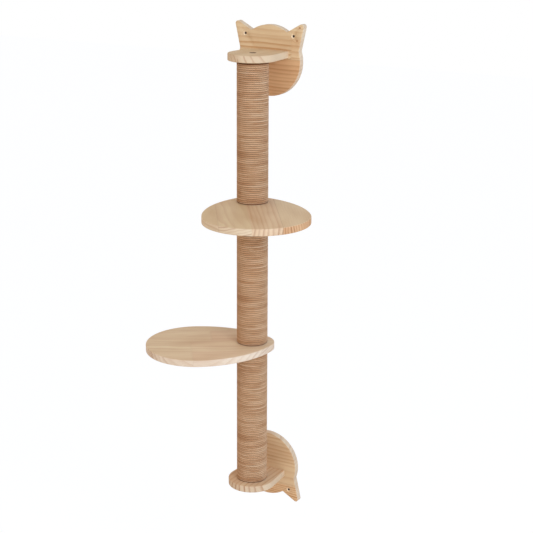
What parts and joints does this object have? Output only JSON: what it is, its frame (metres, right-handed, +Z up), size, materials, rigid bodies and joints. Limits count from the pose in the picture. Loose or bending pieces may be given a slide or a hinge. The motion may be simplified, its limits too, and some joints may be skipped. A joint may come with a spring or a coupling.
{
  "type": "wall mounted cat tree",
  "caption": "Rope-wound vertical post on cat-head wall brackets, with egg-shaped wooden platforms that swing about it.",
  "frame": {"origin": "on the wall face, the back of the top wall plate, midway between its two wall-screw holes", "axes": "+X to the right of a viewer who faces the wall, +Y into the wall, +Z up along the post"},
  "size_m": [0.5213, 0.3895, 1.442],
  "materials": {
    "plate_pine": "sanded pine, lightly oiled",
    "shelf_pine": "sanded pine, lightly oiled",
    "platform_pine": "sanded finger-jointed pine, lightly oiled",
    "plug_wood": "plain turned wood",
    "board_tube": "wound kraft paper board, hidden under the rope",
    "jute_rope": "twisted jute rope, matt",
    "zinc_steel": "zinc-plated steel"
  },
  "bodies": {
    "post_and_brackets": {"top_wall_plate": "plate_pine", "bottom_wall_plate": "plate_pine", "top_bracket_shelf": "shelf_pine", "bottom_bracket_shelf": "shelf_pine", "bracket_screws": "zinc_steel", "upper_post_tube": "board_tube", "upper_post_plugs": "plug_wood", "upper_post_inserts": "zinc_steel", "middle_post_tube": "board_tube", "middle_post_plugs": "plug_wood", "middle_post_inserts": "zinc_steel", "lower_post_tube": "board_tube", "lower_post_plugs": "plug_wood", "lower_post_inserts": "zinc_steel", "post_ropes": "jute_rope", "middle_joining_stud": "zinc_steel", "lower_joining_stud": "zinc_steel", "bracket_bolts": "zinc_steel", "bracket_bolt_washers": "zinc_steel"},
    "middle_platform": {"middle_platform": "platform_pine"},
    "lower_platform": {"lower_platform": "platform_pine"}
  },
  "joints": [
    {"name": "middle_platform_swivel", "type": "hinge", "parent": "post_and_brackets", "child": "middle_platform", "pos_m": [0, -0.108, -0.471], "axis": [0, 0, 1], "range_deg": [-106, 37]},
    {"name": "lower_platform_swivel", "type": "hinge", "parent": "post_and_brackets", "child": "lower_platform", "pos_m": [0, -0.108, -0.891], "axis": [0, 0, 1], "range_deg": [-17, 126]}
  ]
}
